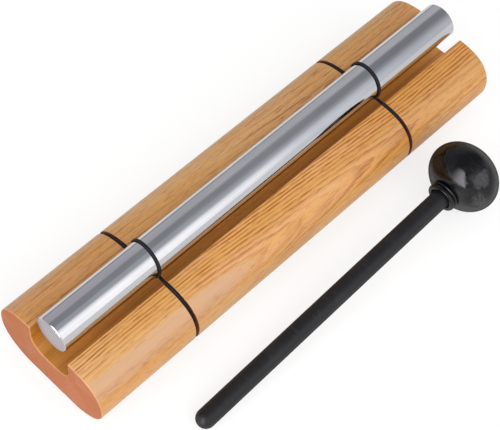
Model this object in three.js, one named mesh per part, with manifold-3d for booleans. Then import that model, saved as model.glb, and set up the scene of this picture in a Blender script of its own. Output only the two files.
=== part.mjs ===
// A solo chime bar: a solid metal rod hung on two elastic cords over a grooved wooden base,
// with the mallet that strikes it lying beside the base.
// Millimetres. X runs along the rod, Y across the base, +Z up. The origin is the middle of the base's sole.

import * as THREE from 'three';
import { mergeVertices } from 'three/addons/utils/BufferGeometryUtils.js';
import Module from 'manifold-3d';

const wasm = await Module();
wasm.setup();

// Base block
const baseLength = 226;
const baseWidth = 57.8;
const baseHeight = 31.2;
const widestHeight = 16.4;
const solePlaned = 0.8;
const crownFullness = { side: 4.4, top: 2 };
const bellyFullness = { side: 3.1, sole: 2.3 };
const quarterSteps = 18;

// Groove along the top of the base
const grooveWidth = 21.2;
const grooveDepth = 14.3;
const grooveCornerRadius = 7;
const cornerSteps = 6;

// Rod
const rodDiameter = 16;
const rodLength = 221.4;
const rodChamfer = 0.35;
const rodSink = 2.4;
const rodOffset = -0.2;
const rodSegments = 72;

// Elastic cords, each in a saw kerf round the base
const cordDiameter = 1.5;
const cordGap = 0.15;
const cordSpacing = 125.4;
const strandGap = 1.4;
const kerfWidth = 1.8;
const kerfTopDepth = 0.95;
const kerfFlankDepth = 3;
const kerfSoleDepth = 2.4;
const cordSides = 8;
const cordSteps = 116;
const turnSteps = 40;
const gapSamples = 232;

// Knot that closes each cord, in a pocket drilled in the sole
const knotLength = 4.4;
const knotRadius = 2;
const knotTurns = 3;
const knotTurnDepth = 0.3;
const knotHeight = 2.7;
const pocketRadius = 3.8;
const pocketDepth = 5.8;
const knotSegments = 20;
const pocketSegments = 40;
const turnPoints = 4;

// Mallet
const handleDiameter = 8.3;
const handleReach = 151;
const handleInHead = 3;
const headAcross = 32.2;
const headAlong = 25;
const headSeatRadius = 7;
const collarDiameter = 13.4;
const collarLength = 3.4;
const collarRibs = 2;
const collarRibHeight = 0.6;
const collarWall = 0.9;
const fitGap = 0.2;
const seatGap = 0.3;
const malletX = -82.1;
const malletY = -53.4;
const handleSegments = 40;
const headSegments = 48;
const headSteps = 16;
const buttSteps = 6;
const ribPoints = 4;

// How far every cutter runs past what it cuts
const cutOverrun = 1;

// Materials
const ash = new THREE.MeshStandardMaterial({ color: 0xc98f52, roughness: 0.55, metalness: 0 });
const aluminium = new THREE.MeshStandardMaterial({ color: 0xc4c6cb, roughness: 0.22, metalness: 1 });
const elastic = new THREE.MeshStandardMaterial({ color: 0x1c1b1c, roughness: 0.8, metalness: 0 });
const handleBlack = new THREE.MeshStandardMaterial({ color: 0x202022, roughness: 0.5, metalness: 0 });
const headBlack = new THREE.MeshStandardMaterial({ color: 0x141416, roughness: 0.25, metalness: 0 });
const collarBlack = new THREE.MeshStandardMaterial({ color: 0x18181a, roughness: 0.4, metalness: 0 });

// Sizes that follow from the ones above
const halfWidth = baseWidth / 2;
const grooveHalf = grooveWidth / 2;
const cordRadius = cordDiameter / 2;
const rodRadius = rodDiameter / 2;
const cordSeat = cordRadius + cordGap;
const loopRadius = rodRadius + cordSeat;
const loopPitch = cordDiameter + strandGap;
const railTop = crownHeightAt(grooveHalf, halfWidth, baseHeight - widestHeight);
const rodHeight = railTop - rodSink + rodRadius;
const kerfHalfWidth = halfWidth - kerfFlankDepth;
const kerfRise = baseHeight - kerfTopDepth - widestHeight;
const kerfLip = crownHeightAt(grooveHalf, kerfHalfWidth, kerfRise);

// Turns a shape's own plane across the block: shape x to Y, shape y to Z, its depth to X
const acrossBlock = new THREE.Matrix4().makeBasis(
  new THREE.Vector3(0, 1, 0), new THREE.Vector3(0, 0, 1), new THREE.Vector3(1, 0, 0));

// One quarter of the rounded section over its widest line, at an angle from straight up
function crownPoint(angle, half, rise) {
  const y = half * Math.sin(angle) ** (2 / crownFullness.side);
  const z = widestHeight + rise * Math.max(0, Math.cos(angle)) ** (2 / crownFullness.top);
  return new THREE.Vector2(y, z);
}

function crownAngleAt(y, half) {
  return Math.asin((y / half) ** (crownFullness.side / 2));
}

function crownHeightAt(y, half, rise) {
  return crownPoint(crownAngleAt(y, half), half, rise).y;
}

// One quarter of the section under its widest line, down to a flat sole
function bellyPoint(angle, half, drop, sole) {
  const y = half * Math.sin(angle) ** (2 / bellyFullness.side);
  const z = widestHeight - drop * Math.max(0, Math.cos(angle)) ** (2 / bellyFullness.sole);
  return new THREE.Vector2(y, Math.max(sole, z));
}

function soleAngle(drop, sole) {
  return Math.acos(((widestHeight - sole) / drop) ** (bellyFullness.sole / 2));
}

// Half a section from its top at topY, round the flank, to the edge of the flat sole
function halfSection(topY, half, rise, drop, sole) {
  const points = [];
  const first = crownAngleAt(topY, half);
  for (let i = 0; i < quarterSteps; i++) {
    points.push(crownPoint(first + (Math.PI / 2 - first) * i / quarterSteps, half, rise));
  }
  const last = soleAngle(drop, sole);
  for (let i = 0; i <= quarterSteps; i++) {
    points.push(bellyPoint(Math.PI / 2 - (Math.PI / 2 - last) * i / quarterSteps, half, drop, sole));
  }
  return points;
}

function mirrored(points) {
  return points.map((p) => new THREE.Vector2(-p.x, p.y)).reverse();
}

function baseHalfSection(topY) {
  return halfSection(topY, halfWidth, baseHeight - widestHeight, widestHeight + solePlaned, 0);
}

function kerfHalfSection(topY) {
  const drop = widestHeight - kerfSoleDepth + solePlaned;
  return halfSection(topY, kerfHalfWidth, kerfRise, drop, kerfSoleDepth);
}

// Groove outline on the +Y side, from the middle of its floor up its wall
function grooveHalfSection() {
  const floor = baseHeight - grooveDepth;
  const centre = new THREE.Vector2(grooveHalf - grooveCornerRadius, floor + grooveCornerRadius);
  const points = [];
  for (let i = 0; i <= cornerSteps; i++) {
    const angle = -Math.PI / 2 + Math.PI / 2 * i / cornerSteps;
    points.push(new THREE.Vector2(
      centre.x + grooveCornerRadius * Math.cos(angle), centre.y + grooveCornerRadius * Math.sin(angle)));
  }
  return points;
}

function extrudeAcross(shape, length, startX) {
  const geometry = new THREE.ExtrudeGeometry(shape, { depth: length, bevelEnabled: false });
  geometry.applyMatrix4(acrossBlock);
  geometry.translate(startX, 0, 0);
  return geometry;
}

// Joins and cuts
function toSolid(geometry) {
  const bare = geometry.clone();
  bare.deleteAttribute('normal');
  bare.deleteAttribute('uv');
  const merged = mergeVertices(bare);
  return new wasm.Manifold(new wasm.Mesh({
    numProp: 3,
    vertProperties: new Float32Array(merged.attributes.position.array),
    triVerts: new Uint32Array(merged.index.array),
  }));
}

function toGeometry(solid) {
  const mesh = solid.getMesh();
  const geometry = new THREE.BufferGeometry();
  geometry.setAttribute('position', new THREE.BufferAttribute(mesh.vertProperties, 3));
  geometry.setIndex(new THREE.BufferAttribute(mesh.triVerts, 1));
  geometry.computeVertexNormals();
  return geometry;
}

function makeMesh(name, geometry, material) {
  const mesh = new THREE.Mesh(geometry, material);
  mesh.name = name;
  return mesh;
}

// The block with its groove, its two kerfs and the two knot pockets
function makeBase() {
  const right = baseHalfSection(grooveHalf);
  const groove = grooveHalfSection();
  const outline = [...mirrored(groove), ...groove, ...right, ...mirrored(right)];
  let solid = toSolid(extrudeAcross(new THREE.Shape(outline), baseLength, -baseLength / 2));
  for (const x of cordPlaces()) {
    solid = solid.subtract(toSolid(kerfCutter(x)));
    const pocket = new THREE.CylinderGeometry(
      pocketRadius, pocketRadius, pocketDepth + cutOverrun, pocketSegments);
    pocket.rotateX(Math.PI / 2);
    pocket.translate(x, 0, (pocketDepth - cutOverrun) / 2);
    solid = solid.subtract(toSolid(pocket));
  }
  return makeMesh('base_block', toGeometry(solid), ash);
}

function cordPlaces() {
  return [-cordSpacing / 2, cordSpacing / 2];
}

// A saw kerf all round the section: a plate with a hole of the kerf floor's outline
function kerfCutter(x) {
  const sideY = halfWidth + cutOverrun;
  const low = -cutOverrun;
  const high = baseHeight + cutOverrun;
  const plate = new THREE.Shape([
    new THREE.Vector2(-sideY, low), new THREE.Vector2(sideY, low),
    new THREE.Vector2(sideY, high), new THREE.Vector2(-sideY, high)]);
  const floor = kerfHalfSection(0);
  plate.holes.push(new THREE.Path([...floor, ...mirrored(floor).slice(0, -1)]));
  return extrudeAcross(plate, kerfWidth, x - kerfWidth / 2);
}

function makeRod() {
  const half = rodLength / 2;
  const rim = rodRadius - rodChamfer;
  const geometry = new THREE.LatheGeometry([
    new THREE.Vector2(0, -half), new THREE.Vector2(rim, -half),
    new THREE.Vector2(rodRadius, -half + rodChamfer), new THREE.Vector2(rodRadius, half - rodChamfer),
    new THREE.Vector2(rim, half), new THREE.Vector2(0, half)], rodSegments);
  geometry.rotateZ(-Math.PI / 2);
  const mesh = makeMesh('chime_rod', geometry, aluminium);
  mesh.position.set(rodOffset, 0, rodHeight);
  return mesh;
}

// Where the cord leaves the rail and where it meets the rod, in the plane across the block
function strandAngles() {
  const toRod = new THREE.Vector2(-grooveHalf, rodHeight - kerfLip);
  const crossing = Math.asin((cordSeat + loopRadius) / toRod.length());
  return Math.atan2(toRod.y, toRod.x) + crossing - Math.PI;
}

// The +Y half of the cord's way over the base, from the knot round the flank to the lip of the groove
function railRoute() {
  const floor = kerfHalfSection(grooveHalf).reverse();
  const route = [new THREE.Vector2(knotLength / 2, knotHeight)];
  route.push(new THREE.Vector2(pocketRadius, kerfSoleDepth - cordSeat));
  for (let i = 0; i < floor.length; i++) {
    const before = floor[Math.max(0, i - 1)];
    const after = floor[Math.min(floor.length - 1, i + 1)];
    const along = after.clone().sub(before).normalize();
    route.push(new THREE.Vector2(floor[i].x + along.y * cordSeat, floor[i].y - along.x * cordSeat));
  }
  return route;
}

// The whole cord: rail, strand under the rod, one turn round it, strand, rail
function cordRoute(x) {
  const slope = strandAngles();
  const rail = railRoute();
  const lip = new THREE.Vector2(
    grooveHalf - cordSeat * Math.sin(slope), kerfLip + cordSeat * Math.cos(slope));
  const points = rail.map((p) => new THREE.Vector3(x, p.x, p.y));
  points.push(new THREE.Vector3(x, lip.x, lip.y));
  const sweep = 2 * Math.PI + 2 * slope;
  for (let i = 0; i <= turnSteps; i++) {
    const angle = -Math.PI / 2 + slope - sweep * i / turnSteps;
    points.push(new THREE.Vector3(
      x + loopPitch * (i / turnSteps - 1 / 2),
      loopRadius * Math.cos(angle), rodHeight + loopRadius * Math.sin(angle)));
  }
  points.push(new THREE.Vector3(x, -lip.x, lip.y));
  points.push(...rail.map((p) => new THREE.Vector3(x, -p.x, p.y)).reverse());
  return points;
}

function makeCord(name, x) {
  const curve = new THREE.CatmullRomCurve3(cordRoute(x), false, 'centripetal');
  curve.arcLengthDivisions = cordSteps * cordSides;
  const section = [];
  for (let i = 0; i < cordSides; i++) {
    const angle = 2 * Math.PI * (i + 1 / 2) / cordSides;
    section.push(new THREE.Vector2(cordRadius * Math.cos(angle), cordRadius * Math.sin(angle)));
  }
  const tube = new THREE.ExtrudeGeometry(new THREE.Shape(section), { steps: cordSteps, extrudePath: curve });
  const knot = makeKnot();
  knot.translate(x, 0, knotHeight);
  const gap = leastSelfGap(curve);
  console.log(`${name}: ${curve.getLength().toFixed(1)} mm long, least gap to itself ${gap.toFixed(2)} mm`);
  return makeMesh(name, toGeometry(toSolid(tube).add(toSolid(knot))), elastic);
}

// A barrel knot across the block: a few tight turns side by side
function makeKnot() {
  const profile = [new THREE.Vector2(0, -knotLength / 2)];
  const steps = knotTurns * turnPoints;
  for (let i = 0; i <= steps; i++) {
    const bulge = Math.abs(Math.sin(Math.PI * i / turnPoints));
    profile.push(new THREE.Vector2(
      knotRadius - knotTurnDepth * (1 - bulge), knotLength * (i / steps - 1 / 2)));
  }
  profile.push(new THREE.Vector2(0, knotLength / 2));
  return new THREE.LatheGeometry(profile, knotSegments);
}

// The least gap between the sides of two stretches that lie a turn apart
function leastSelfGap(curve) {
  const points = curve.getSpacedPoints(gapSamples);
  const step = curve.getLength() / gapSamples;
  const apart = Math.ceil(loopRadius * Math.PI / step);
  let least = Infinity;
  for (let i = 0; i < points.length; i++) {
    for (let j = i + apart; j < points.length; j++) {
      least = Math.min(least, points[i].distanceTo(points[j]));
    }
  }
  return least - cordDiameter;
}

// Lathes turned about Y, then laid along X
function latheAlongX(profile, segments) {
  const geometry = new THREE.LatheGeometry(profile, segments);
  geometry.rotateZ(-Math.PI / 2);
  return geometry;
}

function makeHandle() {
  const radius = handleDiameter / 2;
  const profile = [];
  for (let i = 0; i <= buttSteps; i++) {
    const angle = Math.PI / 2 * i / buttSteps;
    profile.push(new THREE.Vector2(radius * Math.sin(angle), -radius * Math.cos(angle)));
  }
  profile.push(new THREE.Vector2(radius, handleReach + handleInHead));
  profile.push(new THREE.Vector2(0, handleReach + handleInHead));
  return makeMesh('mallet_handle', latheAlongX(profile, handleSegments), handleBlack);
}

// Distance from the head's middle back to the flat seat that the collar meets
function headSeat() {
  return headAlong / 2 * Math.sqrt(1 - (headSeatRadius / (headAcross / 2)) ** 2);
}

function makeHead() {
  const bore = handleDiameter / 2 + fitGap;
  const boreEnd = handleInHead + fitGap;
  const first = Math.acos(headSeat() / (headAlong / 2));
  const profile = [
    new THREE.Vector2(0, boreEnd), new THREE.Vector2(bore, boreEnd), new THREE.Vector2(bore, -headSeat())];
  for (let i = 0; i < headSteps; i++) {
    const angle = first + (Math.PI - first) * i / headSteps;
    profile.push(new THREE.Vector2(headAcross / 2 * Math.sin(angle), -headAlong / 2 * Math.cos(angle)));
  }
  profile.push(new THREE.Vector2(0, headAlong / 2));
  const mesh = makeMesh('mallet_head', latheAlongX(profile, headSegments), headBlack);
  mesh.position.x = handleReach;
  return mesh;
}

function makeCollar() {
  const bore = handleDiameter / 2 + fitGap;
  const outer = collarDiameter / 2;
  const front = -headSeat() - seatGap;
  const steps = collarRibs * ribPoints;
  const profile = [new THREE.Vector2(bore, front - collarLength)];
  for (let i = 0; i <= steps; i++) {
    const bulge = Math.abs(Math.sin(Math.PI * i / ribPoints)) ** (1 / 2);
    const radius = Math.max(bore + collarWall, outer - collarRibHeight * (1 - bulge));
    profile.push(new THREE.Vector2(radius, front - collarLength * (1 - i / steps)));
  }
  profile.push(new THREE.Vector2(bore, front));
  profile.push(profile[0].clone());
  const mesh = makeMesh('mallet_collar', latheAlongX(profile, handleSegments), collarBlack);
  mesh.position.x = handleReach;
  return mesh;
}

// The mallet lies on its head and its butt, so its handle rises a little towards the head.
// The sine of the tilt solves (reach s + butt)^2 = across^2 (1 - s^2) + along^2 s^2.
function malletTilt() {
  const butt = handleDiameter / 2;
  const across = headAcross / 2;
  const along = headAlong / 2;
  const square = handleReach ** 2 + across ** 2 - along ** 2;
  const half = handleReach * butt;
  return Math.asin((Math.sqrt(half ** 2 + square * (across ** 2 - butt ** 2)) - half) / square);
}

function makeMallet() {
  const mallet = new THREE.Group();
  mallet.add(makeHandle(), makeHead(), makeCollar());
  mallet.rotation.y = -malletTilt();
  mallet.position.set(malletX, malletY, handleDiameter / 2);
  return mallet;
}

const chimeBar = new THREE.Group();
const [nearX, farX] = cordPlaces();
chimeBar.add(makeBase(), makeRod(), makeCord('cord_near', nearX), makeCord('cord_far', farX), makeMallet());

export default chimeBar;
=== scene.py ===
import math

import bmesh
import bpy
from mathutils import Matrix, Vector


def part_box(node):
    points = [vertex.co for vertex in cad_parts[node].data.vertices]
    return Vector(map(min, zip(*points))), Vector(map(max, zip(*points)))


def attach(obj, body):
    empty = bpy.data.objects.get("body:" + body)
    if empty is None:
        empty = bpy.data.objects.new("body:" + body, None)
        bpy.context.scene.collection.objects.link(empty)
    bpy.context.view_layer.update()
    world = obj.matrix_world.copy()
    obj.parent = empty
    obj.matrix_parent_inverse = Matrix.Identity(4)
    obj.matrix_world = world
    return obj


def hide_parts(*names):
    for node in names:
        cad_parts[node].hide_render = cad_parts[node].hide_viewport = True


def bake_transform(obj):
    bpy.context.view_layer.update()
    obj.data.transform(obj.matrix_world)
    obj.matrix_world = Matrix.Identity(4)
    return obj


# A solo chime bar dressed for its photograph. Metres; X along the rod, Y across the base, +Z up.
# The near end is at -X, the near flank at -Y.
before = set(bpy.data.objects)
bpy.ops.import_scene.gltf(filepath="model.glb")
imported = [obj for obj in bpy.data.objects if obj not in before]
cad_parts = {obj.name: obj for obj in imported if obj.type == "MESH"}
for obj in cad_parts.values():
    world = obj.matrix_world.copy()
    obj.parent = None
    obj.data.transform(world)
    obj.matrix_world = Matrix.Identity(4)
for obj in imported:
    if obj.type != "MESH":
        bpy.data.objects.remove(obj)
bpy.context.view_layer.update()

# Places and sizes that the frame gives
base_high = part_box("base_block")[1]
rod_low, rod_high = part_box("chime_rod")
handle_low, handle_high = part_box("mallet_handle")
near_low, near_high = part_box("cord_near")
far_low, far_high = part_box("cord_far")
HALF_LENGTH = base_high.x
HALF_WIDTH = base_high.y
BASE_HEIGHT = base_high.z
ROD_RADIUS = (rod_high.z - rod_low.z) / 2
ROD_HEIGHT = (rod_high.z + rod_low.z) / 2
ROD_HALF_LENGTH = (rod_high.x - rod_low.x) / 2
ROD_MIDDLE = (rod_high.x + rod_low.x) / 2
CORD_PLACES = {"near": (near_low.x + near_high.x) / 2, "far": (far_low.x + far_high.x) / 2}

# Section of the base: superellipse quarters over and under its widest line, and their exponents
WIDEST_HEIGHT = 0.0164
SOLE_PLANED = 0.0008
CROWN_SIDE = 4.4
CROWN_TOP = 2
BELLY_SIDE = 3.1
BELLY_SOLE = 2.3
QUARTER_STEPS = 40
GROOVE_HALF = 0.0106
GROOVE_FLOOR = BASE_HEIGHT - 0.0143
GROOVE_CORNER = 0.007
CORNER_STEPS = 16
LIP_EASE = 0.0006
LIP_STEPS = 6
END_EASE = 0.00055
EASE_STEPS = 4
STATION_PITCH = 0.008

# Kerfs and knot pockets
KERF_WIDTH = 0.0018
KERF_TOP_DEPTH = 0.00095
KERF_FLANK_DEPTH = 0.003
KERF_SOLE_DEPTH = 0.0024
KERF_EASE = 0.00014
POCKET_RADIUS = 0.0038
POCKET_DEPTH = 0.0058
POCKET_SEGMENTS = 64

# Rod
ROD_CHAMFER = 0.00035
CHAMFER_EASE = 0.00006
ROD_SEGMENTS = 160

# Cords
CORD_RADIUS = 0.00068
CORD_GAP = 0.00012
TURN_HALF_WIDTH = 0.00066
TURN_HALF_THICKNESS = 0.0004
TURN_GAP = 0.00004
TURN_PITCH = 0.0029
CORD_SIDES = 16
CORD_STEP = 0.0006
TURN_STEPS = 72
KNOT_LENGTH = 0.0044
KNOT_HEIGHT = 0.0027
KNOT_WINDING_RADIUS = 0.00125
KNOT_WINDING_REACH = 0.34 * KNOT_LENGTH
KNOT_TURNS = 3
KNOT_STEPS = 48

# Mallet
HANDLE_RADIUS = 0.00415
HANDLE_REACH = 0.151
HANDLE_IN_HEAD = 0.003
HANDLE_RINGS = 12
BUTT_STEPS = 15
HEAD_RADIUS_ACROSS = 0.0161
HEAD_RADIUS_ALONG = 0.0125
HEAD_SEAT_RADIUS = 0.007
HEAD_STEPS = 64
COLLAR_RADIUS = 0.0067
COLLAR_LENGTH = 0.0034
COLLAR_EDGE = 0.00015
COLLAR_RIB_HEIGHT = 0.0006
COLLAR_RIB_STEPS = 14
COLLAR_FRONT_SWELL = 0.0002
FIT_GAP = 0.0002
SEAT_GAP = 0.0003
LATHE_SEGMENTS = 96
# Where the collar's ribs begin and end, as shares of its length
COLLAR_RIB_SHARES = (0, 0.62, 1)
# Places on the head, from its middle, with finger marks and a painted reflection of the side softbox
MARK_AND_SHEEN_PLACES = ((-0.0026, -0.0099, 0.0120), (-0.0062, -0.0128, 0.0032))

# Edges sharper than this stay sharp, in degrees
SHARP_ANGLE = 35
WOOD_SHARP_ANGLE = 30
ROD_SHARP_ANGLE = 50
CORD_SHARP_ANGLE = 60

# Vertices nearer to each other than this are one
BASE_WELD = KERF_EASE / 20
COLLAR_WELD = 0.000001

# Camera of the photograph: a 500 x 430 frame, angles in degrees, places in its own right, up and back
CAMERA_AZIMUTH = -49.42
CAMERA_ELEVATION = 56.98
CAMERA_ROLL = 4.81
CAMERA_SIDE = -0.00255
CAMERA_RISE = 0.00005
CAMERA_DISTANCE = 0.6301
CLIP_RATIO = 50
FOCAL_PIXELS = 1497.16
FRAME_PIXELS = 500
SENSOR_MILLIMETRES = 36

# Wood: place of the pith, distance from it at which the rings begin, and width of a ring
PITH_Y = 0.060
PITH_Z = -0.052
RING_START = 0.11375
RING_PITCH = 0.0008
# Stretch of the block over which the rings lean, and how steeply
LEAN_START = -0.050
LEAN_END = 0.070
LEAN_SLOPE = 0.040
# Painted shadow of the rod's end, a dark streak along the floor of the groove at its near end, and how
# gradually the groove's colour ends
SHADOW_STREAK_PLACE = 0.0034
SHADOW_STREAK_HALF_WIDTH = 0.0017
SHADOW_STREAK_DARK_HALF_WIDTH = 0.0007
GROOVE_BLUR = 0.0003

# Stage and light: what lights the object, and what is seen by the camera and by glossy things
FLOOR_HALF_SIZE = 3
FLOOR_DROP = 0.0001
FLOOR_COLOUR = (0.8, 0.8, 0.8, 1)
FLOOR_SEEN_COLOUR = (0.30, 0.30, 0.30, 1)
FLOOR_SEEN_GLOW = 0.74
WORLD_LIGHT = 0.66
WORLD_SEEN = 1.0
SOFTBOX_DISTANCE = 0.95
SOFTBOX_AIM = Vector((0, 0, 0.02))

# Cards that only glossy things see; the tent's angles are from straight up towards +Y, in degrees
CARDS_START = -5.0
CARDS_END = 6.0
TENT_RADIUS = 1.6
TENT_FIRST = -84
TENT_LAST = 90
TENT_STEPS = 72
FRONT_CARD_PLACE = -1.2
FRONT_CARD_SIDES = (-0.75, 0.65)
FRONT_CARD_TOP = 1.7
EDGE_CARD_PLACE = 0.40
EDGE_CARD_TOP = 0.052

# Sizes that follow
CORD_SEAT = CORD_RADIUS + CORD_GAP
ROUND_SECTION = (CORD_RADIUS, CORD_RADIUS)
TURN_SECTION = (TURN_HALF_WIDTH, TURN_HALF_THICKNESS)
LOOP_RADIUS = ROD_RADIUS + TURN_HALF_THICKNESS + TURN_GAP
KERF_HALF_WIDTH = HALF_WIDTH - KERF_FLANK_DEPTH
KERF_RISE = BASE_HEIGHT - KERF_TOP_DEPTH - WIDEST_HEIGHT
KERF_DROP = WIDEST_HEIGHT - KERF_SOLE_DEPTH + SOLE_PLANED


def set_camera():
    """The photograph's camera, from its angles round and over the object and its roll."""
    azimuth, elevation, roll = (math.radians(a) for a in (CAMERA_AZIMUTH, CAMERA_ELEVATION, CAMERA_ROLL))
    back = Vector((math.sin(azimuth) * math.cos(elevation), -math.cos(azimuth) * math.cos(elevation),
                   math.sin(elevation)))
    right = Vector((math.cos(azimuth), math.sin(azimuth), 0))
    up = back.cross(right)
    turned_right = math.cos(roll) * right + math.sin(roll) * up
    turned_up = math.cos(roll) * up - math.sin(roll) * right
    turn = Matrix((turned_right, turned_up, back)).transposed()
    data = bpy.data.cameras.new("camera")
    data.sensor_width = SENSOR_MILLIMETRES
    data.lens = FOCAL_PIXELS * SENSOR_MILLIMETRES / FRAME_PIXELS
    data.clip_start = CAMERA_DISTANCE / CLIP_RATIO
    data.clip_end = CAMERA_DISTANCE * CLIP_RATIO
    camera = bpy.data.objects.new("camera", data)
    camera.matrix_world = turn.to_4x4()
    camera.location = turn @ Vector((CAMERA_SIDE, CAMERA_RISE, CAMERA_DISTANCE))
    bpy.context.scene.collection.objects.link(camera)
    bpy.context.scene.camera = camera


# Mesh helpers
def object_from(name, bm, material, sharp_angle=SHARP_ANGLE):
    mesh = bpy.data.meshes.new(name)
    bmesh.ops.recalc_face_normals(bm, faces=bm.faces)
    bm.to_mesh(mesh)
    bm.free()
    mesh.shade_smooth()
    mesh.set_sharp_from_angle(angle=math.radians(sharp_angle))
    mesh.materials.append(material)
    made = bpy.data.objects.new(name, mesh)
    bpy.context.scene.collection.objects.link(made)
    return made


def skin(bm, rings, closed_round=True):
    """Faces between neighbouring rings of as many vertices each; one vertex may stand for a whole ring."""
    for before, after in zip(rings, rings[1:]):
        count = len(before)
        for i in range(count if closed_round else count - 1):
            j = (i + 1) % count
            corners = []
            for vertex in (before[i], before[j], after[j], after[i]):
                if vertex not in corners:
                    corners.append(vertex)
            if len(corners) > 2:
                bm.faces.new(corners)


def lathe(name, profile, segments, material, placing, sharp_angle=SHARP_ANGLE):
    """A profile of (along, radius) pairs turned about X, then placed."""
    bm = bmesh.new()
    rings = []
    for along, radius in profile:
        if radius == 0:
            rings.append([bm.verts.new(placing @ Vector((along, 0, 0)))] * segments)
            continue
        ring = []
        for i in range(segments):
            angle = 2 * math.pi * i / segments
            point = Vector((along, radius * math.cos(angle), radius * math.sin(angle)))
            ring.append(bm.verts.new(placing @ point))
        rings.append(ring)
    skin(bm, rings)
    return object_from(name, bm, material, sharp_angle)


def arc(centre, radius, first, last, steps):
    """Points on a circle in a plane, angles in degrees."""
    points = []
    for i in range(steps + 1):
        angle = math.radians(first + (last - first) * i / steps)
        points.append((centre[0] + radius * math.cos(angle), centre[1] + radius * math.sin(angle)))
    return points


def moved_aside(point, before, after, distance):
    """A point of an outline moved to the right of the way from the point before it to the one after."""
    along = Vector((after[0] - before[0], after[1] - before[1])).normalized()
    return point[0] + along.y * distance, point[1] - along.x * distance


# Section of the base, as in the CAD, with its edges eased
def crown_point(angle, half, rise):
    y = half * math.sin(angle) ** (2 / CROWN_SIDE)
    return y, WIDEST_HEIGHT + rise * max(0, math.cos(angle)) ** (2 / CROWN_TOP)


def crown_angle(y, half):
    return math.asin((y / half) ** (CROWN_SIDE / 2))


def belly_point(angle, half, drop, sole):
    y = half * math.sin(angle) ** (2 / BELLY_SIDE)
    return y, max(sole, WIDEST_HEIGHT - drop * max(0, math.cos(angle)) ** (2 / BELLY_SOLE))


def half_section(half, rise, drop, sole, start_y):
    """From the crown at start_y round the flank to the edge of the sole."""
    first = crown_angle(start_y, half)
    last = math.acos(((WIDEST_HEIGHT - sole) / drop) ** (BELLY_SOLE / 2))
    points = []
    for i in range(QUARTER_STEPS):
        points.append(crown_point(first + (math.pi / 2 - first) * i / QUARTER_STEPS, half, rise))
    for i in range(QUARTER_STEPS + 1):
        points.append(belly_point(math.pi / 2 - (math.pi / 2 - last) * i / QUARTER_STEPS, half, drop, sole))
    return points


def outline(half, rise, drop, sole):
    """The whole closed outline of the grooved block, from the middle of the groove's floor."""
    lip_y = GROOVE_HALF + LIP_EASE
    lip_z = crown_point(crown_angle(lip_y, half), half, rise)[1]
    corner = (GROOVE_HALF - GROOVE_CORNER, GROOVE_FLOOR + GROOVE_CORNER)
    side = [(0.0, GROOVE_FLOOR)]
    side += arc(corner, GROOVE_CORNER, -90, 0, CORNER_STEPS)
    side += arc((lip_y, lip_z - LIP_EASE), LIP_EASE, 180, 90, LIP_STEPS)[:-1]
    side += half_section(half, rise, drop, sole, lip_y)
    mirrored = [(-y, z) for y, z in reversed(side[1:])]
    return side + [(0.0, sole)] + mirrored


def shrunk(points, distance, keep_groove=False):
    """The closed outline moved into the wood by a distance."""
    moved = []
    for i, (y, z) in enumerate(points):
        in_groove = abs(y) <= GROOVE_HALF + LIP_EASE / 2 and z > WIDEST_HEIGHT
        if keep_groove and in_groove:
            moved.append((y, z))
        else:
            moved.append(moved_aside((y, z), points[i - 1], points[(i + 1) % len(points)], distance))
    return moved


def end_stations(block):
    """Both eased ends of the block: pairs of a place along it and the outline there."""
    stations = []
    for i in range(EASE_STEPS + 1):
        angle = math.pi / 2 * i / EASE_STEPS
        inwards = END_EASE * (1 - math.sin(angle))
        back = END_EASE * (1 - math.cos(angle))
        stations.append((HALF_LENGTH - back, shrunk(block, inwards)))
    stations.append((HALF_LENGTH - END_EASE * 1.5, block))
    return stations + [(-x, points) for x, points in stations]


def plain_stations(block):
    """Evenly spaced places along the block, leaving out those at a kerf."""
    stations = []
    count = int(HALF_LENGTH / STATION_PITCH)
    for i in range(-count, count + 1):
        x = i * STATION_PITCH
        if min(abs(x - place) for place in CORD_PLACES.values()) > KERF_WIDTH:
            stations.append((x, block))
    return stations


def kerf_stations(block):
    """The eased edges and the walls of both kerfs."""
    kerf = outline(KERF_HALF_WIDTH, KERF_RISE, KERF_DROP, KERF_SOLE_DEPTH)
    edge = shrunk(block, KERF_EASE, keep_groove=True)
    # The edge and the wall are at one place; this much apart they sort in the right order
    hair = KERF_EASE / 1000
    stations = []
    for place in CORD_PLACES.values():
        for side in (-1, 1):
            wall = place + side * KERF_WIDTH / 2
            stations += [(wall + side * KERF_EASE, block), (wall + side * hair, edge), (wall, kerf)]
    return stations


def make_base(material):
    """The block: its outlines joined from end to end, with both ends closed and the pockets drilled."""
    block = outline(HALF_WIDTH, BASE_HEIGHT - WIDEST_HEIGHT, WIDEST_HEIGHT + SOLE_PLANED, 0)
    stations = end_stations(block) + plain_stations(block) + kerf_stations(block)
    stations.sort(key=lambda station: station[0])
    bm = bmesh.new()
    rings = [[bm.verts.new((x, y, z)) for y, z in points] for x, points in stations]
    skin(bm, rings)
    for ring in (rings[0], rings[-1]):
        bm.faces.new(ring)
    bmesh.ops.remove_doubles(bm, verts=bm.verts, dist=BASE_WELD)
    bmesh.ops.triangulate(bm, faces=[f for f in bm.faces if len(f.verts) > 4])
    made = object_from("base_wood", bm, material, WOOD_SHARP_ANGLE)
    drill_pockets(made)
    return made


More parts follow.
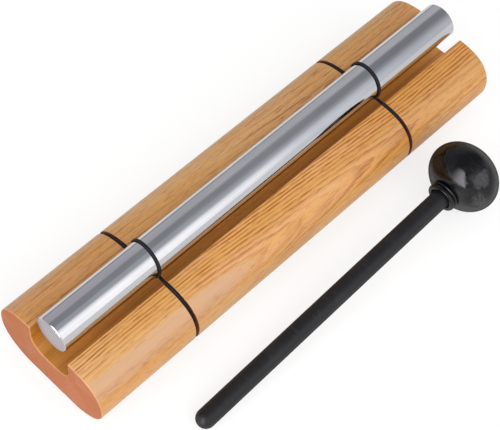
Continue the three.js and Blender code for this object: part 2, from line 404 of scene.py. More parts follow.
def drill_pockets(piece):
    """Round pockets for the knots, cut into the sole."""
    for place in CORD_PLACES.values():
        up = Matrix.Translation((place, 0, -POCKET_DEPTH)) @ Matrix.Rotation(-math.pi / 2, 4, "Y")
        profile = [(0, 0), (0, POCKET_RADIUS), (2 * POCKET_DEPTH, POCKET_RADIUS), (2 * POCKET_DEPTH, 0)]
        drill = lathe("drill", profile, POCKET_SEGMENTS, piece.data.materials[0], up)
        cut = piece.modifiers.new("pocket", "BOOLEAN")
        cut.operation = "DIFFERENCE"
        cut.solver = "EXACT"
        cut.object = drill
        graph = bpy.context.evaluated_depsgraph_get()
        whole = bpy.data.meshes.new_from_object(piece.evaluated_get(graph))
        piece.modifiers.clear()
        bpy.data.objects.remove(drill)
        piece.data = whole
    piece.data.set_sharp_from_angle(angle=math.radians(WOOD_SHARP_ANGLE))


# Rod
def make_rod(material):
    """A solid rod: flat ends, and chamfers whose two edges are slightly round."""
    half, ease = ROD_HALF_LENGTH, CHAMFER_EASE
    rim = ROD_RADIUS - ROD_CHAMFER
    chamfer = [(0, rim - ease), (ease / 3, rim), (ease, rim + ease * 2 / 3),
               (ROD_CHAMFER - ease, ROD_RADIUS - ease * 2 / 3), (ROD_CHAMFER, ROD_RADIUS - ease / 3),
               (ROD_CHAMFER + ease, ROD_RADIUS), (ROD_CHAMFER + ease * 4, ROD_RADIUS)]
    end = [(-half, r) for r in (0, rim / 3, rim * 2 / 3)] + [(-half + x, r) for x, r in chamfer]
    end += [(-half * share, ROD_RADIUS) for share in (0.75, 0.5, 0.25)]
    other = [(-x, r) for x, r in reversed(end)]
    placing = Matrix.Translation((ROD_MIDDLE, 0, ROD_HEIGHT))
    return lathe("rod_metal", end + other, ROD_SEGMENTS, material, placing, ROD_SHARP_ANGLE)


# Cords
def smooth_route(points, step):
    """A Catmull-Rom curve through the points, sampled at about one step."""
    route = []
    for i in range(len(points) - 1):
        a, b = points[i], points[i + 1]
        before = points[i - 1] if i > 0 else a * 2 - b
        after = points[i + 2] if i + 2 < len(points) else b * 2 - a
        count = max(1, round((b - a).length / step))
        for k in range(count):
            t = k / count
            route.append(0.5 * (2 * a + (b - before) * t + (2 * before - 5 * a + 4 * b - after) * t ** 2
                                + (3 * a - before - 3 * b + after) * t ** 3))
    route.append(points[-1])
    return route


def sides_of(route, free):
    """Two directions across a route at each of its points.

    The first lies along the rod; where the route is free, both turn as little as they can.
    """
    normal = Vector((1, 0, 0))
    for i in range(len(route)):
        before, after = route[max(0, i - 1)], route[min(len(route) - 1, i + 1)]
        tangent = (after - before).normalized()
        if not free:
            normal = Vector((1, 0, 0))
        elif i == 0:
            normal = tangent.orthogonal()
        normal = (normal - tangent * normal.dot(tangent)).normalized()
        yield normal, tangent.cross(normal)


def tube(name, points, material, first, last, step=CORD_STEP, free=False):
    """A tube along a smooth route, its half width and half thickness going from first to last.

    Its UVs are once round it in U, and its length over its girth in V.
    """
    route = smooth_route(points, step)
    bm = bmesh.new()
    uv_layer = bm.loops.layers.uv.new("UVMap")
    rings, alongs = [], []
    along = 0.0
    for i, (normal, other) in enumerate(sides_of(route, free)):
        share = i / (len(route) - 1)
        width, thickness = (a + (b - a) * share for a, b in zip(first, last))
        if i > 0:
            along += (route[i] - route[i - 1]).length
        alongs.append(along)
        ring = []
        for k in range(CORD_SIDES):
            angle = 2 * math.pi * k / CORD_SIDES
            corner = route[i] + width * math.cos(angle) * normal + thickness * math.sin(angle) * other
            ring.append(bm.verts.new(corner))
        rings.append(ring)
    girth = 2 * math.pi * first[0]
    for i in range(len(rings) - 1):
        for k in range(CORD_SIDES):
            j = (k + 1) % CORD_SIDES
            face = bm.faces.new((rings[i][k], rings[i][j], rings[i + 1][j], rings[i + 1][k]))
            corners = ((k, i), (k + 1, i), (k + 1, i + 1), (k, i + 1))
            for loop, (u, v) in zip(face.loops, corners):
                loop[uv_layer].uv = (u / CORD_SIDES, alongs[v] / girth)
    for ring in (rings[0], rings[-1]):
        bm.faces.new(ring)
    return object_from(name, bm, material, CORD_SHARP_ANGLE)


def kerf_lip():
    """Height of the kerf's floor at the groove's wall."""
    return crown_point(crown_angle(GROOVE_HALF, KERF_HALF_WIDTH), KERF_HALF_WIDTH, KERF_RISE)[1]


def strand_slope():
    """Angle of the strand between the lip and the rod, which it meets as a tangent."""
    rise = ROD_HEIGHT - kerf_lip()
    distance = math.hypot(GROOVE_HALF, rise)
    crossing = math.asin((CORD_SEAT + LOOP_RADIUS) / distance)
    return math.atan2(rise, -GROOVE_HALF) + crossing - math.pi


def lip_point():
    slope = strand_slope()
    return GROOVE_HALF - CORD_SEAT * math.sin(slope), kerf_lip() + CORD_SEAT * math.cos(slope)


def rail_route():
    """The +Y half of the cord's way over the base, from its knot round the flank to the lip."""
    floor = half_section(KERF_HALF_WIDTH, KERF_RISE, KERF_DROP, KERF_SOLE_DEPTH, GROOVE_HALF)[::-1]
    route = [(KNOT_LENGTH / 2, KNOT_HEIGHT), (POCKET_RADIUS, KERF_SOLE_DEPTH - CORD_SEAT)]
    for i, point in enumerate(floor):
        before, after = floor[max(0, i - 1)], floor[min(len(floor) - 1, i + 1)]
        route.append(moved_aside(point, before, after, CORD_SEAT))
    route.append(lip_point())
    return route


def turn_point(place, share):
    """A point of the turn round the rod, at a share of its way from the +Y side to the -Y side."""
    slope = strand_slope()
    angle = -math.pi / 2 + slope - (2 * math.pi + 2 * slope) * share
    return Vector((place + TURN_PITCH * (share - 0.5), LOOP_RADIUS * math.cos(angle),
                   ROD_HEIGHT + LOOP_RADIUS * math.sin(angle)))


def make_cord(node, place, material):
    """A cord in six pieces: two lengths in the base, two strands, the turn round the rod and the knot."""
    turn = [turn_point(place, i / TURN_STEPS) for i in range(TURN_STEPS + 1)]
    lip = Vector((place, *lip_point()))
    sides = (("left", 1), ("right", -1))
    lengths, strands = [], []
    for side, sign in sides:
        route = [Vector((place, sign * y, z)) for y, z in rail_route()]
        lengths.append(tube(f"{node}_in_base_{side}", route, material, ROUND_SECTION, ROUND_SECTION))
    for (side, sign), end in zip(sides, (turn[0], turn[-1])):
        route = [Vector((place, sign * lip.y, lip.z)), end]
        strands.append(tube(f"{node}_strand_{side}", route, material, ROUND_SECTION, TURN_SECTION))
    loop = tube(f"{node}_turn", turn, material, TURN_SECTION, TURN_SECTION)
    knot = make_knot(f"{node}_knot", place, material)
    for piece in (*lengths, knot):
        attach(piece, "base")
    for strand, sign in zip(strands, (1, -1)):
        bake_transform(strand)
    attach(loop, "suspension")
    for piece in (*lengths, knot, loop, *strands):
        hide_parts(node)


def make_knot(name, place, material):
    """A barrel knot: the cord wound into a short helix inside the pocket."""
    points = []
    for i in range(KNOT_STEPS + 1):
        share = i / KNOT_STEPS
        angle = 2 * math.pi * KNOT_TURNS * share
        x = place + KNOT_WINDING_RADIUS * math.cos(angle)
        z = KNOT_HEIGHT + KNOT_WINDING_RADIUS * math.sin(angle)
        points.append(Vector((x, KNOT_WINDING_REACH * (2 * share - 1), z)))
    return tube(name, points, material, ROUND_SECTION, ROUND_SECTION, CORD_STEP / 2, free=True)


# Mallet
def mallet_placing():
    """The mallet lies on its head and its butt, its handle rising a little towards the head."""
    # The sine of its tilt, at which the lowest points of both are on the floor
    square = HANDLE_REACH ** 2 + HEAD_RADIUS_ACROSS ** 2 - HEAD_RADIUS_ALONG ** 2
    half = HANDLE_REACH * HANDLE_RADIUS
    sine = (math.sqrt(half ** 2 + square * (HEAD_RADIUS_ACROSS ** 2 - HANDLE_RADIUS ** 2)) - half) / square
    butt = Vector((handle_low.x + HANDLE_RADIUS, (handle_low.y + handle_high.y) / 2, HANDLE_RADIUS))
    return Matrix.Translation(butt) @ Matrix.Rotation(-math.asin(sine), 4, "Y")


def head_placing():
    return mallet_placing() @ Matrix.Translation((HANDLE_REACH, 0, 0))


def head_seat():
    """Distance from the head's middle to where the collar meets it."""
    return HEAD_RADIUS_ALONG * math.sqrt(1 - (HEAD_SEAT_RADIUS / HEAD_RADIUS_ACROSS) ** 2)


def make_handle(material):
    """A straight stick with a round butt."""
    butt = arc((0, 0), HANDLE_RADIUS, 180, 90, BUTT_STEPS)
    end = HANDLE_REACH + HANDLE_IN_HEAD
    stick = [(end * i / HANDLE_RINGS, HANDLE_RADIUS) for i in range(1, HANDLE_RINGS + 1)]
    profile = [(-HANDLE_RADIUS, 0)] + butt[1:] + stick + [(end, 0)]
    return lathe("mallet_handle_stick", profile, LATHE_SEGMENTS, material, mallet_placing())


def make_head(material):
    """A ball flattened along the handle, with a blind bore for it."""
    bore = HANDLE_RADIUS + FIT_GAP
    bore_end = HANDLE_IN_HEAD + FIT_GAP
    first = math.acos(head_seat() / HEAD_RADIUS_ALONG)
    profile = [(bore_end, 0), (bore_end, bore), (-head_seat(), bore)]
    for i in range(HEAD_STEPS):
        angle = first + (math.pi - first) * i / HEAD_STEPS
        profile.append((-HEAD_RADIUS_ALONG * math.cos(angle), HEAD_RADIUS_ACROSS * math.sin(angle)))
    profile.append((HEAD_RADIUS_ALONG, 0))
    return lathe("mallet_head_ball", profile, LATHE_SEGMENTS, material, head_placing())


def make_collar(material):
    """A moulded collar: a broad round rib at the handle's mouth and a narrow one against the head."""
    bore = HANDLE_RADIUS + FIT_GAP
    front = -head_seat() - SEAT_GAP
    back = front - COLLAR_LENGTH
    mouth = bore + COLLAR_RIB_HEIGHT
    waist = COLLAR_RADIUS - COLLAR_RIB_HEIGHT
    profile = [(back + COLLAR_LENGTH / 3, bore), (back + COLLAR_EDGE, mouth), (back, mouth + COLLAR_EDGE)]
    for rib, (start, end) in enumerate(zip(COLLAR_RIB_SHARES, COLLAR_RIB_SHARES[1:])):
        for i in range(COLLAR_RIB_STEPS + 1):
            share = i / COLLAR_RIB_STEPS
            bulge = math.sin(math.pi * share) ** 0.5
            swell = COLLAR_FRONT_SWELL * rib * bulge
            profile.append((back + COLLAR_LENGTH * (start + (end - start) * share),
                            waist + COLLAR_RIB_HEIGHT * bulge + swell))
    profile.append((front, bore))
    profile.append(profile[0])
    made = lathe("mallet_collar_ring", profile, LATHE_SEGMENTS, material, head_placing())
    weld(made)
    return made


def weld(piece):
    """The profile of a ring ends where it begins, so the two are joined."""
    bm = bmesh.new()
    bm.from_mesh(piece.data)
    bmesh.ops.remove_doubles(bm, verts=bm.verts, dist=COLLAR_WELD)
    bmesh.ops.recalc_face_normals(bm, faces=bm.faces)
    bm.to_mesh(piece.data)
    bm.free()


# Materials
def srgb(red, green, blue):
    """A colour as it is seen, 0 to 255, in the linear values that a shader takes."""
    def linear(value):
        share = value / 255
        return share / 12.92 if share <= 0.04045 else ((share + 0.055) / 1.055) ** 2.4
    return linear(red), linear(green), linear(blue), 1.0


class Nodes:
    """The node tree of a material or of the world, and short ways to add to it."""

    def __init__(self, owner):
        self.owner = owner
        owner.use_nodes = True
        self.tree = owner.node_tree

    def put(self, socket, value):
        if isinstance(value, bpy.types.NodeSocket):
            self.tree.links.new(value, socket)
        else:
            socket.default_value = value

    def add(self, kind, inputs=(), out=0, **settings):
        node = self.tree.nodes.new(f"ShaderNode{kind}")
        for key, value in settings.items():
            setattr(node, key, value)
        for key, value in dict(inputs).items():
            self.put(node.inputs[key], value)
        return node.outputs[out]

    def coordinates(self, kind):
        return self.add("TexCoord", out=kind)

    def parts(self, vector):
        """X, Y and Z of a vector."""
        return tuple(self.add("SeparateXYZ", {"Vector": vector}).node.outputs)

    def facing_an_end(self):
        """1 where the surface faces along X, 0 where it faces across."""
        return self.math("ABSOLUTE", self.parts(self.coordinates("Normal"))[0])

    def math(self, operation, a, b=0.0, c=0.0):
        return self.add("Math", {0: a, 1: b, 2: c}, operation=operation)

    def chain(self, operation, first, *others):
        for other in others:
            first = self.math(operation, first, other)
        return first

    def plus(self, *terms):
        return self.chain("ADD", *terms)

    def times(self, *factors):
        return self.chain("MULTIPLY", *factors)

    def largest(self, *values):
        return self.chain("MAXIMUM", *values)

    def line(self, value, slope, start):
        """The start, and slope times the value more."""
        return self.math("MULTIPLY_ADD", value, slope, start)

    def apart(self, value, place):
        """How far a value is from a place, either way."""
        return self.math("ABSOLUTE", self.math("SUBTRACT", value, place))

    def smooth_max(self, value, softness):
        """The larger of a value and zero, with a soft corner."""
        squares = self.plus(self.times(value, value), softness * softness)
        return self.times(self.plus(value, self.math("SQRT", squares)), 0.5)

    def ramp(self, value, low, high, start=0.0, end=1.0):
        """A smooth step from start to end, as a value goes from low to high."""
        inputs = {"Value": value, "From Min": low, "From Max": high, "To Min": start, "To Max": end}
        return self.add("MapRange", inputs, interpolation_type="SMOOTHSTEP")

    def noise(self, vector, scale, detail=2.0, roughness=0.5, distortion=0.0):
        """Noise at a scale, or at three scales along X, Y and Z."""
        if isinstance(scale, tuple):
            vector, scale = self.add("Mapping", {"Vector": vector, "Scale": scale}), 1.0
        return self.add("TexNoise", {"Vector": vector, "Scale": scale, "Detail": detail,
                                     "Roughness": roughness, "Distortion": distortion})

    def mix(self, factor, a, b, blend="MIX"):
        node = self.tree.nodes.new("ShaderNodeMix")
        node.data_type = "RGBA"
        node.blend_type = blend
        for key, value in (("Factor_Float", factor), ("A_Color", a), ("B_Color", b)):
            self.put(next(s for s in node.inputs if s.identifier == key), value)
        return next(s for s in node.outputs if s.identifier == "Result_Color")

    def tinted(self, colour, *tints):
        """A colour multiplied by each tint, as far as its mask says; tints are pairs of mask and tint."""
        for mask, tint in tints:
            colour = self.mix(mask, colour, (*tint, 1), "MULTIPLY")
        return colour

    def bump(self, height, strength, distance):
        return self.add("Bump", {"Height": height, "Strength": strength, "Distance": distance})

    def set(self, **values):
        """Values of the shader's own sockets, their names written with underscores."""
        for key, value in values.items():
            self.put(self.tree.nodes["Principled BSDF"].inputs[key.replace("_", " ")], value)

    def show(self, shader):
        """Another shader takes the place of the material's own."""
        self.put(self.tree.nodes["Material Output"].inputs["Surface"], shader)


class Wood(Nodes):
    """Ash: what its grain is at each point, and masks for the block's sides."""

    def __init__(self):
        super().__init__(bpy.data.materials.new("ash_wood"))
        self.place = self.coordinates("Object")
        self.x, self.y, self.z = self.parts(self.place)
        self.near_lip = self.times(self.ramp(self.y, -0.0225, -0.015), self.ramp(self.y, 0, -0.004))
        self.near_flank = self.ramp(self.y, -0.014, -0.021)
        self.low_edge = self.ramp(self.y, -0.0248, -0.0272)
        self.far_side = self.ramp(self.y, 0.002, 0.006)
        self.depth = self.ring_depth()
        # The rings grow wider inwards
        tight = self.times(self.smooth_max(self.math("SUBTRACT", self.depth, 0.012), 0.002), 0.65)
        self.rings = self.math("DIVIDE", self.math("SUBTRACT", self.depth, tight), RING_PITCH)
        self.has_rings = self.ramp(self.rings, -1.0, -0.8)
        self.porous = self.porous_side()
        self.fibre = self.noise(self.place, (70, 2600, 2600), detail=3, roughness=0.6)

    def ring_depth(self):
        """How far a point lies inside the first ring, towards the pith."""
        pith_y = self.math("SUBTRACT", self.y, PITH_Y)
        pith_z = self.math("SUBTRACT", self.z, PITH_Z)
        radius = self.math("SQRT", self.plus(self.times(pith_y, pith_y), self.times(pith_z, pith_z)))
        leaning = self.math("SUBTRACT", self.smooth_max(self.math("SUBTRACT", self.x, LEAN_START), 0.008),
                            self.smooth_max(self.math("SUBTRACT", self.x, LEAN_END), 0.006))
        waver = self.plus(self.times(self.noise(self.place, (11, 70, 70), detail=2), 0.0010),
                          self.times(self.noise(self.place, (95, 800, 800), detail=1), 0.00045))
        return self.plus(self.math("SUBTRACT", RING_START, radius), self.line(leaning, LEAN_SLOPE, waver))

    def porous_side(self):
        """Each ring is porous on its inner side; the outermost wood has no rings."""
        in_ring = self.math("FRACT", self.rings)
        wide = self.ramp(self.depth, 0.010, 0.015)
        inner = self.ramp(in_ring, self.line(wide, 0.40, 0.30), self.line(wide, 0.14, 0.80))
        return self.times(inner, self.ramp(in_ring, 1.0, 0.94), self.has_rings)

    def streaks(self):
        """Vessels cut along their length, in the porous side of each ring."""
        vessels = self.ramp(self.noise(self.place, (110, 2000, 2000), detail=2, roughness=0.6), 0.42, 0.56)
        zone = self.ramp(self.noise(self.place, (14, 130, 130), detail=2), 0.38, 0.56, 0.25, 1.0)
        lip_zone = self.times(self.near_lip, self.ramp(self.x, -0.09, -0.03, 0.8, 1.0))
        flank_zone = self.times(self.near_flank, self.ramp(self.x, 0.066, 0.092, 0.0, 0.9))
        # Some rings are much more porous than others
        ring_share = self.add("TexWhiteNoise", {"W": self.math("FLOOR", self.rings)}, noise_dimensions="1D")
        strength = self.times(self.line(vessels, 0.72, 0.28), self.line(ring_share, 0.5, 0.62))
        return self.times(self.porous, self.largest(zone, lip_zone, flank_zone), strength)

    def dashes(self):
        """Single short vessels, faint where the wood has no rings."""
        dashes = self.ramp(self.noise(self.place, (230, 2500, 2500), detail=1), 0.58, 0.68)
        return self.times(dashes, self.line(self.largest(self.has_rings, self.low_edge), 0.85, 0.15))

    def plain_colour(self):
        """The wood between its vessels, in slow changes, fine ones and fibre."""
        slow = self.noise(self.place, (9, 70, 70), detail=3)
        tint = self.noise(self.place, (16, 240, 240), detail=2)
        colour = self.mix(self.ramp(slow, 0.36, 0.62), srgb(229, 178, 115), srgb(223, 165, 86))
        colour = self.mix(self.ramp(tint, 0.50, 0.66, 0.0, 0.7), colour, srgb(229, 170, 117))
        colour = self.mix(self.ramp(self.rings, -0.1, -1.2, 0.0, 0.8), colour, srgb(203, 162, 128))
        return self.mix(self.ramp(self.fibre, 0.3, 0.7, 0.0, 0.30), colour, srgb(205, 138, 68))

    def grained(self, colour, streaks, dashes):
        """A colour with the vessels drawn over it."""
        line_colour = self.mix(self.near_lip, srgb(176, 104, 40), srgb(174, 98, 12))
        # Strongest on the near lip, then on the far side, and weak at the near flank's near end
        strength = self.line(self.near_lip, 0.6, self.line(self.far_side, 0.40, 0.82))
        quiet = self.times(self.ramp(self.y, -0.0145, -0.017), self.ramp(self.x, -0.045, -0.07))
        streak_mix = self.times(streaks, strength, self.line(quiet, -0.35, 1.0))
        colour = self.mix(streak_mix, colour, line_colour)
        colour = self.mix(self.times(dashes, 0.42), colour, srgb(166, 96, 38))
        # Short dark strokes on the far side and low on the near flank
        strokes = self.ramp(self.noise(self.place, (120, 1500, 1500), detail=2), 0.59, 0.68)
        stroke_mix = self.times(strokes, self.largest(self.far_side, self.low_edge),
                                self.ramp(self.x, 0.0, 0.05, 0.5, 0.85))
        return self.mix(stroke_mix, colour, srgb(168, 104, 40))

    def with_painted_light(self, colour):
        """Painted shade darker towards the far end, a painted sheen greyer on the far flank, and smaller
        painted light and shade on the near side.
        """
        far_half = self.ramp(self.y, 0.002, 0.008)
        return self.tinted(
            colour,
            # Painted shade towards the far end, painted sheen on the far flank, then painted shade and light
            # on the near side
            (self.ramp(self.x, 0.005, 0.078), (0.935, 0.885, 0.73)),
            (self.ramp(self.y, 0.016, 0.0285), (0.88, 0.98, 1.07)),
            (far_half, (0.96, 0.935, 0.985)),
            (self.times(far_half, self.ramp(self.x, -0.04, -0.085)), (0.945, 0.885, 0.82)),
            (self.near_flank, (0.95, 0.94, 0.94)),
            (self.times(self.near_flank, self.ramp(self.x, 0.02, 0.06)), (0.965, 0.95, 0.91)),
            (self.times(self.near_lip, self.ramp(self.x, -0.07, -0.02)), (1.05, 1.035, 0.98)),
            (self.times(self.low_edge, self.ramp(self.x, -0.045, -0.07)), (1.0, 0.94, 0.86)),
            (self.times(self.low_edge, self.ramp(self.x, 0.0, 0.03)), (1.09, 1.07, 1.02)))

    def with_groove(self, colour):
        """The wood inside the groove is darker, with routing streaks, most so at its near end, where a
        painted shadow of the rod's end lies.
        """
        inside = self.times(self.ramp(self.math("ABSOLUTE", self.y), GROOVE_HALF + GROOVE_BLUR, GROOVE_HALF),
                            self.ramp(self.z, BASE_HEIGHT - 0.0004, BASE_HEIGHT - 0.0009),
                            self.ramp(self.z, WIDEST_HEIGHT - 0.0004, WIDEST_HEIGHT))
        routed = self.ramp(self.noise(self.place, (9, 420, 420), detail=3), 0.46, 0.64)
        colour = self.mix(self.times(inside, 0.70), colour, srgb(238, 162, 38))
        colour = self.mix(self.times(inside, routed, 0.4), colour, srgb(190, 115, 34))
        # Painted shadow of the rod's end over the near end of the groove, darkest in a streak along its
        # floor
        rod_end_shadow = self.times(inside, self.ramp(self.x, -0.094, -0.108))
        from_shadow_streak = self.apart(self.y, SHADOW_STREAK_PLACE)
        rod_end_shadow_streak = self.times(self.ramp(from_shadow_streak, SHADOW_STREAK_HALF_WIDTH, SHADOW_STREAK_DARK_HALF_WIDTH),
                           self.ramp(self.x, -0.103, -0.108), inside)
        return self.tinted(colour, (rod_end_shadow, (0.77, 0.735, 0.76)), (rod_end_shadow_streak, (0.82, 0.73, 0.62)))

    def with_ends(self, colour, facing, end_grain):
        """Cut ends are pinker, with a paler eased rim that is partly wear and partly a painted highlight."""
        speckle = self.noise(self.place, 1500, detail=3, roughness=0.7)
        blotch = self.noise(self.place, 130, detail=2)
        cut = self.mix(self.ramp(blotch, 0.32, 0.58), srgb(201, 122, 78), srgb(195, 110, 52))
        cut = self.mix(self.ramp(speckle, 0.3, 0.7, 0.0, 0.6), cut, srgb(176, 96, 54))
        cut = self.mix(self.times(self.porous, 0.22), cut, srgb(158, 82, 48))
        cut = self.tinted(cut, (self.ramp(self.y, -0.020, 0.024, 0.35, 1.0), (0.86, 0.87, 0.78)))
        # The paler rim is partly wear and partly a painted highlight along the eased edge
        rim = self.times(self.ramp(facing, 0.12, 0.45), self.ramp(facing, 0.98, 0.80))
        return self.mix(self.times(rim, 0.6), self.mix(end_grain, colour, cut), srgb(226, 160, 110))

    def with_kerf_shade(self, colour):
        """Painted shade darkens the kerfs to a deep brown, but not the groove that they cross."""
        from_kerf = self.apart(self.math("ABSOLUTE", self.x), CORD_PLACES["far"])
        on_rails = self.ramp(self.math("ABSOLUTE", self.y), GROOVE_HALF, GROOVE_HALF + GROOVE_BLUR)
        # Painted shade deep in the kerfs
        sawn = self.times(self.ramp(from_kerf, KERF_WIDTH / 2 + KERF_EASE, KERF_WIDTH / 2),
                          self.largest(on_rails, self.ramp(self.z, WIDEST_HEIGHT, WIDEST_HEIGHT / 2)))
        return self.mix(self.times(sawn, 0.85), colour, srgb(92, 40, 10))


def make_wood():
    ash = Wood()
    streaks, dashes = ash.streaks(), ash.dashes()
    facing = ash.facing_an_end()
    end_grain = ash.ramp(facing, 0.6, 0.95)
    colour = ash.with_groove(ash.with_painted_light(ash.grained(ash.plain_colour(), streaks, dashes)))
    colour = ash.with_kerf_shade(ash.with_ends(colour, facing, end_grain))
    relief = ash.plus(ash.times(ash.fibre, 0.4), ash.times(ash.plus(streaks, dashes), -0.7))
    rough = ash.plus(ash.ramp(ash.fibre, 0.2, 0.8, 0.38, 0.50), ash.times(end_grain, 0.35))
    ash.set(Base_Color=colour, Roughness=rough, Specular_IOR_Level=0.5,
            Normal=ash.bump(relief, 0.25, 0.0002))
    return ash.owner


def make_aluminium():
    """Drawn along its length and polished, with sawn ends."""
    nodes = Nodes(bpy.data.materials.new("polished_aluminium"))
    place = nodes.coordinates("Object")
    drawn = nodes.noise(place, (10, 1500, 1500), detail=3)
    cloud = nodes.noise(place, (50, 110, 110), detail=3)
    sawn = nodes.ramp(nodes.facing_an_end(), 0.90, 0.97)
    end_colour = nodes.mix(nodes.noise(place, 900, detail=2), srgb(164, 157, 163), srgb(175, 169, 175))
    colour = nodes.mix(nodes.ramp(cloud, 0.3, 0.7), srgb(190, 190, 193), srgb(197, 197, 199))
    colour = nodes.mix(sawn, colour, end_colour)
    colour = nodes.mix(nodes.ramp(drawn, 0.35, 0.65, 0.0, 0.08), colour, srgb(120, 120, 124))
    rough = nodes.plus(nodes.ramp(drawn, 0.25, 0.75, 0.070, 0.135), nodes.times(sawn, 0.22))
    nodes.set(Base_Color=colour, Metallic=1.0, Roughness=rough, Normal=nodes.bump(drawn, 0.02, 0.0001))
    return nodes.owner


def make_elastic():
    """A braided cover: diagonal bands on the cord's own UVs."""
    nodes = Nodes(bpy.data.materials.new("elastic_cord"))
    braid = nodes.add("TexWave", {"Vector": nodes.coordinates("UV"), "Scale": 4.0}, out=1,
                      wave_type="BANDS", bands_direction="DIAGONAL")
    colour = nodes.mix(braid, srgb(11, 10, 13), srgb(29, 27, 31))
    nodes.set(Base_Color=colour, Roughness=0.7, Specular_IOR_Level=0.25,
              Normal=nodes.bump(braid, 0.6, 0.0001))
    return nodes.owner


def dust_and_sheen_on(nodes, place, mark_and_sheen_spots):
    """Dust and finger marks, which lie in patches, most at the spots fingers have marked, where they also
    paint a pale reflection of the side softbox.
    """
    specks = nodes.ramp(nodes.noise(place, 1700, detail=3, roughness=0.7), 0.54, 0.66)
    marks = nodes.ramp(nodes.noise(place, (1500, 260, 260), detail=2, distortion=0.8), 0.48, 0.60)
    patches = nodes.ramp(nodes.noise(place, 75, detail=1), 0.54, 0.66, 0.0, 0.4)
    # On the head these patches stand partly for finger marks and partly for a painted reflection of the side
    # softbox
    for spot in mark_and_sheen_spots:
        away = nodes.add("VectorMath", {0: place, 1: spot}, out="Value", operation="DISTANCE")
        torn = nodes.noise(place, 320, detail=2, roughness=0.6)
        patches = nodes.largest(patches, nodes.ramp(nodes.line(torn, 0.010, away), 0.0100, 0.0070))
    lying = nodes.largest(specks, nodes.times(marks, 0.45))
    return nodes.times(patches, nodes.line(lying, 0.6, 0.3))


def make_black(name, dark, pale, roughness, relief, shine, dust_and_sheen, mark_and_sheen_spots=()):
    """Black plastic: mottled, pale where it is scuffed, and with pale patches of dusting and painted sheen
    as strong as dust_and_sheen says.
    """
    nodes = Nodes(bpy.data.materials.new(name))
    place = nodes.coordinates("Object")
    mottle = nodes.noise(place, 420, detail=4, roughness=0.6)
    scuffs = nodes.ramp(nodes.noise(place, (900, 160, 500), detail=3, distortion=1.2), 0.56, 0.70)
    # The rim mirrors less than smooth plastic would
    grazing = nodes.add("LayerWeight", {"Blend": 0.5}, out="Facing")
    dust_and_sheen_mask = dust_and_sheen_on(nodes, place, mark_and_sheen_spots)
    rough = nodes.plus(nodes.ramp(mottle, 0.3, 0.7, *roughness), nodes.times(scuffs, 0.14),
                       nodes.ramp(grazing, 0.40, 0.92, 0.0, 0.5), nodes.times(dust_and_sheen_mask, dust_and_sheen * 0.3))
    colour = nodes.mix(nodes.times(scuffs, 0.5), dark, pale)
    colour = nodes.mix(nodes.times(dust_and_sheen_mask, dust_and_sheen), colour, srgb(108, 108, 112))
    nodes.set(Base_Color=colour, Roughness=rough, Specular_IOR_Level=shine,
              Normal=nodes.bump(mottle, relief, 0.0002))
    return nodes.owner


# Stage
def seen_directly(nodes):
    """1 where the camera, or something glossy or clear, sees it; 0 where it lights the object."""
    rays = nodes.add("LightPath").node.outputs
    return nodes.largest(rays["Is Camera Ray"], rays["Is Glossy Ray"], rays["Is Transmission Ray"])


def make_floor():
    """White with the object's shadow on it where it is seen, plain pale grey where it lights the object."""
    nodes = Nodes(bpy.data.materials.new("floor"))
    plain = nodes.add("BsdfDiffuse", {"Color": FLOOR_COLOUR})
    shadowed = nodes.add("BsdfDiffuse", {"Color": FLOOR_SEEN_COLOUR})
    glow = nodes.add("Emission", {"Strength": FLOOR_SEEN_GLOW})
    white = nodes.add("AddShader", {0: shadowed, 1: glow})
    nodes.show(nodes.add("MixShader", {0: seen_directly(nodes), 1: plain, 2: white}))
    bm = bmesh.new()
    bmesh.ops.create_grid(bm, x_segments=1, y_segments=1, size=FLOOR_HALF_SIZE)
    floor = object_from("floor", bm, nodes.owner)
    floor.location.z = -FLOOR_DROP


def make_world():
    """White all round where it is seen, and dimmer where it lights the object."""
    world = bpy.data.worlds.new("studio")
    bpy.context.scene.world = world
    nodes = Nodes(world)
    seen = seen_directly(nodes)
    strength = nodes.add("MapRange", {"Value": seen, "To Min": WORLD_LIGHT, "To Max": WORLD_SEEN})
    background = nodes.tree.nodes["Background"].inputs
    nodes.put(background["Color"], (1, 1, 1, 1))
    nodes.put(background["Strength"], strength)


def add_softbox(name, direction, size, radiance):
    """A rectangular lamp aimed at the object's middle; neither the camera nor a glossy thing sees it."""
    data = bpy.data.lights.new(name, "AREA")
    data.shape = "RECTANGLE"
    data.size, data.size_y = size
    data.energy = radiance * math.pi * size[0] * size[1]
    lamp = bpy.data.objects.new(name, data)
    away = Vector(direction).normalized()
    lamp.location = away * SOFTBOX_DISTANCE + SOFTBOX_AIM
    lamp.rotation_mode = "QUATERNION"
    lamp.rotation_quaternion = away.to_track_quat("Z", "Y")
    lamp.visible_camera = False
    lamp.visible_glossy = False
    bpy.context.scene.collection.objects.link(lamp)


def add_card(name, nodes, bm, colour, strength=1.0):
    """A glowing card that only glossy things see."""
    nodes.show(nodes.add("Emission", {"Color": colour, "Strength": strength}))
    card = object_from(name, bm, nodes.owner)
    card.visible_camera = False
    card.visible_diffuse = False
    card.visible_shadow = False
    card.visible_transmission = False


def add_front_card():
    """The face of the front softbox, brighter towards the near flank."""
    bm = bmesh.new()
    left, right = FRONT_CARD_SIDES
    corners = ((left, 0), (right, 0), (right, FRONT_CARD_TOP), (left, FRONT_CARD_TOP))
    bm.faces.new([bm.verts.new((FRONT_CARD_PLACE, y, z)) for y, z in corners])
    nodes = Nodes(bpy.data.materials.new("front_card"))
    y, z = nodes.parts(nodes.coordinates("Object"))[1:]
    # Its edge at -Y is soft and leans inwards, and it fades towards its top
    from_edge = nodes.math("SUBTRACT", y, nodes.line(z, 0.22, -0.66))
    face = nodes.times(nodes.ramp(from_edge, 0.0, 0.07), nodes.ramp(z, FRONT_CARD_TOP, 1.1))
    strength = nodes.times(nodes.ramp(y, 0.60, -0.40, 0.2, 11.2), face)
    add_card("front_card", nodes, bm, (0.97, 0.93, 1.0, 1), strength)


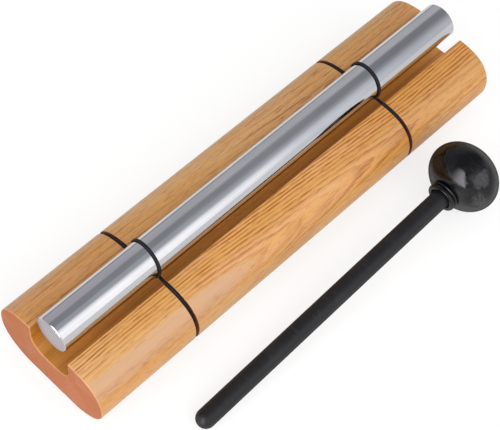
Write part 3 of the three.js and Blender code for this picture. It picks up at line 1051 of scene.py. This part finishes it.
def tent_colour(nodes, x, angle):
    """Dark overhead and paler down both sides, then the face of the side softbox and the dim room."""
    far = nodes.ramp(x, 0.46, 0.83)
    near_tone = nodes.times(nodes.ramp(angle, 5, -13, 0.345, 0.55), nodes.math("SUBTRACT", 1, far))
    rise = nodes.times(nodes.ramp(angle, -2, -70), nodes.ramp(x, 0.60, 1.25, 0.97, 0.44))
    far_tone = nodes.times(nodes.plus(rise, nodes.ramp(x, 0.76, 1.2, 0.38, 0.30)), far)
    low = nodes.mix(nodes.plus(near_tone, far_tone), (0, 0, 0, 1), (1.03, 1.065, 1.15, 1))
    grey = nodes.mix(nodes.ramp(x, 0.33, 0.78), (0.60, 0.57, 0.63, 1), (0.66, 0.665, 0.70, 1))
    turned = nodes.plus(angle, nodes.ramp(x, 0.6, 1.2, 0, 4))
    colour = nodes.mix(nodes.ramp(turned, 23, 43), low, grey)
    # The softbox is round at its far end
    up = nodes.math("DIVIDE", nodes.plus(angle, 61), 34.5)
    out = nodes.math("DIVIDE", nodes.math("MAXIMUM", nodes.math("SUBTRACT", x, 0.22), 0), 0.627)
    reach = nodes.plus(nodes.times(up, up), nodes.times(out, out, out))
    box = nodes.times(nodes.ramp(reach, 1.2, 0.2), nodes.ramp(x, -1.35, -1.15))
    colour = nodes.mix(box, colour, (1.75, 1.74, 1.76, 1))
    # Low on the far side, past the edge of the table, it is dim
    return nodes.mix(nodes.ramp(angle, 82, 88), colour, (0.34, 0.32, 0.32, 1))


def add_tent():
    """A half pipe of grey and dark cards over the set."""
    bm = bmesh.new()
    rings = []
    for z, y in arc((0, 0), TENT_RADIUS, TENT_FIRST, TENT_LAST, TENT_STEPS):
        rings.append([bm.verts.new((x, y, z)) for x in (CARDS_START, CARDS_END)])
    skin(bm, rings, closed_round=False)
    nodes = Nodes(bpy.data.materials.new("cards"))
    x, y, z = nodes.parts(nodes.coordinates("Object"))
    angle = nodes.times(nodes.math("ARCTAN2", y, z), 180 / math.pi)
    add_card("cards", nodes, bm, tent_colour(nodes, x, angle))


def add_edge_card():
    """The dim room past the far edge of the table, a low strip."""
    bm = bmesh.new()
    corners = ((CARDS_START, 0), (CARDS_END, 0), (CARDS_END, EDGE_CARD_TOP), (CARDS_START, EDGE_CARD_TOP))
    bm.faces.new([bm.verts.new((x, EDGE_CARD_PLACE, z)) for x, z in corners])
    nodes = Nodes(bpy.data.materials.new("edge_card"))
    x = nodes.parts(nodes.coordinates("Object"))[0]
    add_card("edge_card", nodes, bm, (1, 0.97, 0.98, 1), nodes.ramp(x, 0.0, 0.2, 0.34, 0.37))


def light_the_set():
    make_floor()
    make_world()
    add_tent()
    add_softbox("softbox_side", direction=(-0.20, -0.78, 0.63), size=(1.1, 0.85), radiance=1.75)
    add_softbox("softbox_front", direction=(-0.86, 0.05, 0.50), size=(0.22, 0.6), radiance=4.0)
    add_front_card()
    add_edge_card()


set_camera()
wood = make_wood()
aluminium = make_aluminium()
elastic = make_elastic()
handle_black = make_black("handle_plastic", srgb(23, 23, 25), srgb(42, 43, 46),
                          roughness=(0.40, 0.50), relief=0.12, shine=0.28, dust_and_sheen=0.12)
head_middle = mallet_placing() @ Vector((HANDLE_REACH, 0, 0))
head_black = make_black("head_plastic", srgb(6, 6, 8), srgb(36, 37, 41),
                        roughness=(0.13, 0.20), relief=0.03, shine=0.27, dust_and_sheen=0.50,
                        mark_and_sheen_spots=[head_middle + Vector(place) for place in MARK_AND_SHEEN_PLACES])
collar_black = make_black("collar_plastic", srgb(10, 10, 12), srgb(30, 30, 33),
                          roughness=(0.16, 0.26), relief=0.05, shine=0.26, dust_and_sheen=0.22)

base = make_base(wood)
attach(base, "base")
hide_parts("base_block")
rod = make_rod(aluminium)
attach(rod, "bar")
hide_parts("chime_rod")
for end, place in CORD_PLACES.items():
    make_cord(f"cord_{end}", place, elastic)
for piece, node, slot in ((make_handle(handle_black), "mallet_handle", "handle_plastic"),
                          (make_head(head_black), "mallet_head", "head_plastic"),
                          (make_collar(collar_black), "mallet_collar", "collar_plastic")):
    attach(piece, "mallet")
    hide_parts(node)

light_the_set()
bpy.context.scene.view_settings.view_transform = "Standard"
